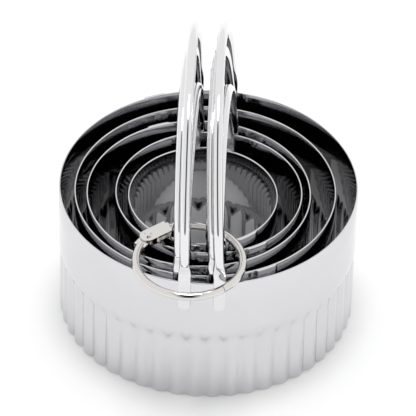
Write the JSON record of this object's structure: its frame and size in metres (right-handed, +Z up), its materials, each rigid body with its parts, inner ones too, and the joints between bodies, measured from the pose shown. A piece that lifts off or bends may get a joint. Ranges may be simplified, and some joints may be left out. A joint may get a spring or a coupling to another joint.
{
  "type": "biscuit cutter set",
  "caption": "Nested round biscuit cutters with plain rims, fluted lower walls and double wire arch handles, held together by a hinged binder ring.",
  "frame": {"origin": "centre of the largest cutter's cutting edge, on the plane that the set stands on", "axes": "+Z up from the cutting edges to the handles; the handles run along Y, with the binder ring at the -Y side; +X is to the right seen from that side"},
  "size_m": [0.0888, 0.1001, 0.0949],
  "materials": {
    "band_steel": "mirror polished stainless sheet",
    "wire_steel": "mirror polished stainless wire",
    "ring_steel": "bright nickel plated"
  },
  "bodies": {
    "cutter_5": {"band_5": "band_steel", "left_wire_5": "wire_steel", "right_wire_5": "wire_steel"},
    "cutter_4": {"band_4": "band_steel", "left_wire_4": "wire_steel", "right_wire_4": "wire_steel"},
    "cutter_3": {"band_3": "band_steel", "left_wire_3": "wire_steel", "right_wire_3": "wire_steel"},
    "cutter_2": {"band_2": "band_steel", "left_wire_2": "wire_steel", "right_wire_2": "wire_steel"},
    "cutter_1": {"band_1": "band_steel", "left_wire_1": "wire_steel", "right_wire_1": "wire_steel"},
    "ring": {"ring_half": "ring_steel", "hinge_bracket": "ring_steel", "hinge_rivet": "ring_steel"},
    "gate": {"ring_gate": "ring_steel"}
  },
  "joints": [
    {"name": "lift_4", "type": "slide", "parent": "cutter_5", "child": "cutter_4", "axis": [0, 0, 1], "range_m": [0, 0.002]},
    {"name": "lift_3", "type": "slide", "parent": "cutter_4", "child": "cutter_3", "axis": [0, 0, 1], "range_m": [0, 0.002]},
    {"name": "lift_2", "type": "slide", "parent": "cutter_3", "child": "cutter_2", "axis": [0, 0, 1], "range_m": [0, 0.002]},
    {"name": "lift_1", "type": "slide", "parent": "cutter_2", "child": "cutter_1", "axis": [0, 0, 1], "range_m": [0, 0.002]},
    {"name": "ring_lift", "type": "slide", "parent": "cutter_1", "child": "ring", "axis": [0, 0, 1], "range_m": [0, 0.002]},
    {"name": "gate_swing", "type": "hinge", "parent": "ring", "child": "gate", "pos_m": [-0.01747, -0.02648, 0.04655], "axis": [0, 0, 1], "range_deg": [-75, 0]}
  ]
}
